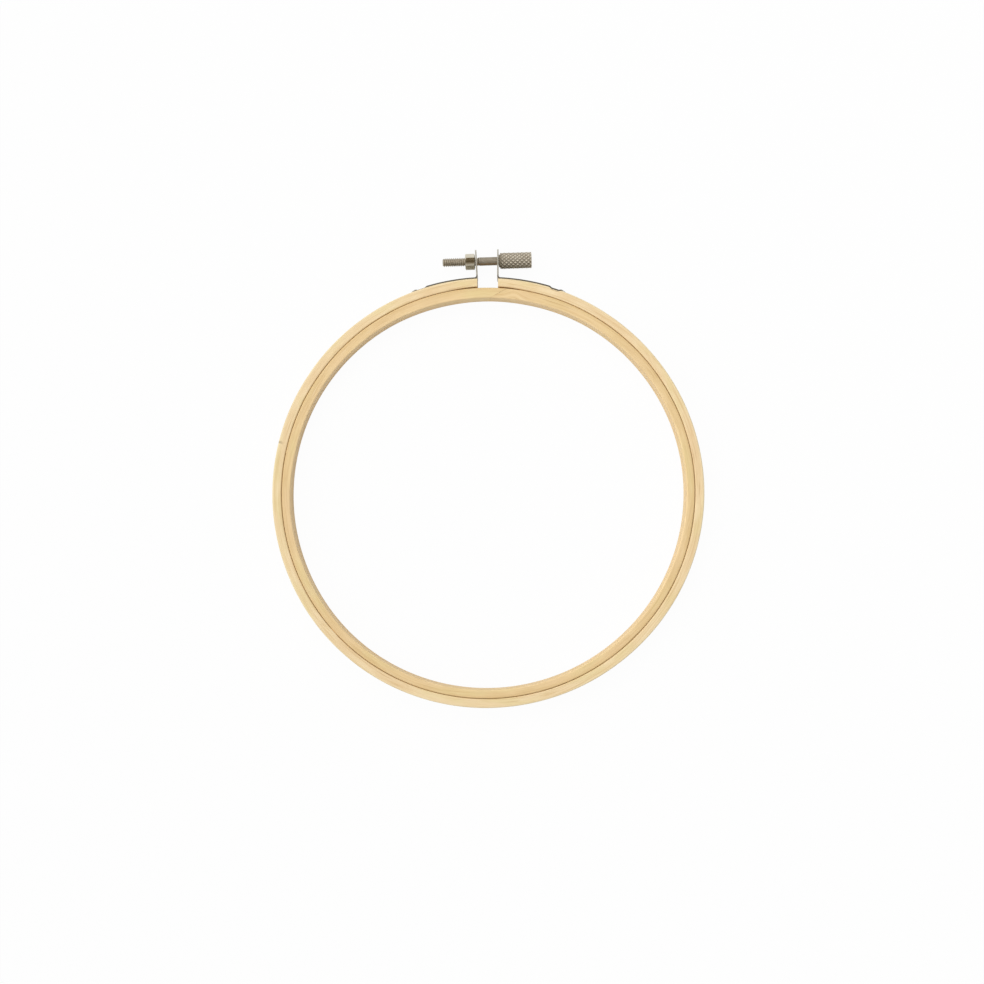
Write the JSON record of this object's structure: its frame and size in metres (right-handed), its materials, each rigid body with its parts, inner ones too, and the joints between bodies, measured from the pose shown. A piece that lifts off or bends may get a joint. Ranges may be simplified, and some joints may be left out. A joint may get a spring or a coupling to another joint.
{
  "type": "embroidery hoop",
  "caption": "Round bamboo embroidery hoop: inner ring held in a split outer ring that a knurled thumb screw and nut close through bent sheet brackets.",
  "frame": {"origin": "centre of the two rings, halfway up their height", "axes": "+Z along the rings' axis, square to the face of the hoop; +Y from the centre to the gap and its screw; +X towards the screw's knurled head"},
  "size_m": [0.1524, 0.1637, 0.0094],
  "materials": {
    "outer_bamboo": "smooth sanded, unvarnished",
    "inner_bamboo": "smooth sanded, unvarnished",
    "plated_sheet": "nickel-plated sheet steel",
    "plated_screw": "nickel-plated turned steel, knurled head",
    "plated_nut": "nickel-plated turned steel",
    "rivet_steel": "plated steel"
  },
  "bodies": {
    "left_half": {"outer_ring_left": "outer_bamboo", "bracket_left": "plated_sheet", "rivet_left_near": "rivet_steel", "rivet_left_far": "rivet_steel"},
    "right_half": {"outer_ring_right": "outer_bamboo", "bracket_right": "plated_sheet", "rivet_right_near": "rivet_steel", "rivet_right_far": "rivet_steel"},
    "inner_ring": {"inner_ring": "inner_bamboo"},
    "thumb_screw": {"thumb_screw": "plated_screw"},
    "nut": {"nut": "plated_nut"}
  },
  "joints": [
    {"name": "ring_flex", "type": "hinge", "parent": "left_half", "child": "right_half", "pos_m": [0, -0.0762, 0], "axis": [0, 0, -1], "range_deg": [0, 2.16]},
    {"name": "screw_turn", "type": "hinge", "parent": "right_half", "child": "thumb_screw", "pos_m": [0, 0.0832, 0], "axis": [0.9995, 0.0305, 0], "range_deg": [0, 2881]},
    {"name": "nut_travel", "type": "slide", "parent": "right_half", "child": "nut", "axis": [-0.9995, -0.0305, 0], "range_m": [0, 0.00601]},
    {"name": "inner_ring_lift", "type": "slide", "parent": "left_half", "child": "inner_ring", "axis": [0, 0, 1], "range_m": [0, 0.02]}
  ],
  "couplings": [
    {"joint": "screw_turn", "follows": "ring_flex", "ratio": 1335.4},
    {"joint": "nut_travel", "follows": "ring_flex", "m_per_rad": 0.1594}
  ]
}
